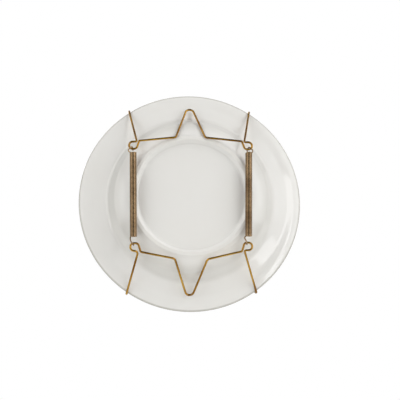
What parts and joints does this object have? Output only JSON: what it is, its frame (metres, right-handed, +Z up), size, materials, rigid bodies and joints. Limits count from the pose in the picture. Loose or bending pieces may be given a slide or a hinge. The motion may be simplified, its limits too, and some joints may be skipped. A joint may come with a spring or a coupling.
{
  "type": "display plate on a spring wire hanger",
  "caption": "Plain white glazed display plate hung by its rim in a brass wire and spring plate hanger, for a nail in a wall.",
  "frame": {"origin": "where the nail bears, under the bend at the top of the upper wire frame", "axes": "+Z up as it hangs, -Y out of the display face into the room, +Y towards the wall, +X to the left as seen from the wall side"},
  "size_m": [0.254, 0.0397, 0.254],
  "materials": {
    "porcelain": "gloss",
    "brass_wire": "satin",
    "spring_wire": "aged satin"
  },
  "bodies": {
    "hanger_top": {"upper_wire_frame": "brass_wire", "left_spring": "spring_wire", "right_spring": "spring_wire"},
    "dish": {"plate": "porcelain"},
    "hanger_bottom": {"lower_wire_frame": "brass_wire"}
  },
  "joints": [
    {"name": "plate_turn", "type": "hinge", "parent": "hanger_top", "child": "dish", "pos_m": [0, -0.0103, -0.10535], "axis": [0, 1, 0], "continuous": true},
    {"name": "lower_frame_pull", "type": "slide", "parent": "hanger_top", "child": "hanger_bottom", "axis": [0, 0, -1], "range_m": [0, 0.015], "stiffness_N_per_m": 340, "springref_m": -0.03, "deforming": ["left_spring", "right_spring"]}
  ]
}
